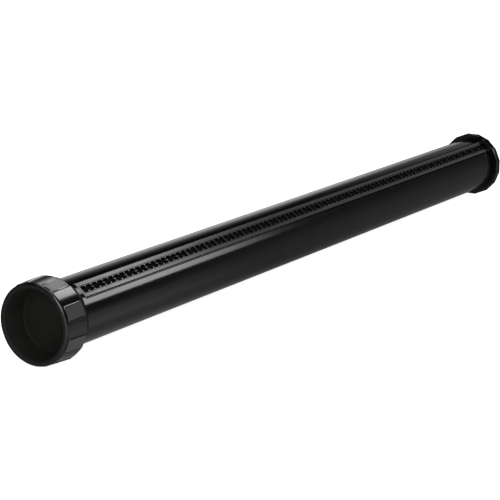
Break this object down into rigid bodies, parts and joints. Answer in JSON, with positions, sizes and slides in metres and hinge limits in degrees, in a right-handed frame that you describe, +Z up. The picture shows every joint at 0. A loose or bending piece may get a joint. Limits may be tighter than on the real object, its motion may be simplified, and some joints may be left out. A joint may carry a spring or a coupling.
{
  "type": "drawing tube",
  "caption": "Black plastic telescopic drawing tube, closed, with a faceted pull-off cup cap, a toothed length-setting strip and a faceted grip flange.",
  "frame": {"origin": "centre of the box's bottom face: on the surface that the closed tube lies on, half-way along it", "axes": "+X along the tube from the cap to the grip flange, +Z up, -Y the side that the toothed strip leans towards"},
  "size_m": [0.7, 0.064, 0.064],
  "materials": {
    "tube_black": "satin moulded black plastic",
    "strip_black": "satin moulded black plastic",
    "cap_black": "satin moulded black plastic",
    "cup_black": "fine-grained moulded black plastic",
    "inner_black": "dull black plastic",
    "seal_rubber": "black rubber"
  },
  "bodies": {
    "outer_tube_assembly": {"outer_tube": "tube_black", "strip_frame": "strip_black", "rack_strip_near": "strip_black", "rack_strip_far": "strip_black", "mouth_bush": "inner_black"},
    "end_cap": {"cap_grip_ring": "cap_black", "cap_cup": "cup_black", "cap_seal_ring": "seal_rubber"},
    "guide_carriage": {"guide_ring": "inner_black"},
    "inner_tube_assembly": {"inner_tube": "tube_black", "lock_ring": "inner_black", "stop_collar": "inner_black", "far_flange": "cap_black", "far_plug": "cup_black", "far_seal_ring": "seal_rubber"}
  },
  "joints": [
    {"name": "cap_pull", "type": "slide", "parent": "outer_tube_assembly", "child": "end_cap", "axis": [-1, 0, 0], "range_m": [0, 0.06]},
    {"name": "extend", "type": "slide", "parent": "outer_tube_assembly", "child": "guide_carriage", "axis": [1, 0, 0], "range_m": [0, 0.5348]},
    {"name": "lock_twist", "type": "hinge", "parent": "guide_carriage", "child": "inner_tube_assembly", "pos_m": [-0.303, 0, 0.032], "axis": [1, 0, 0], "range_deg": [0, 5.5]}
  ]
}
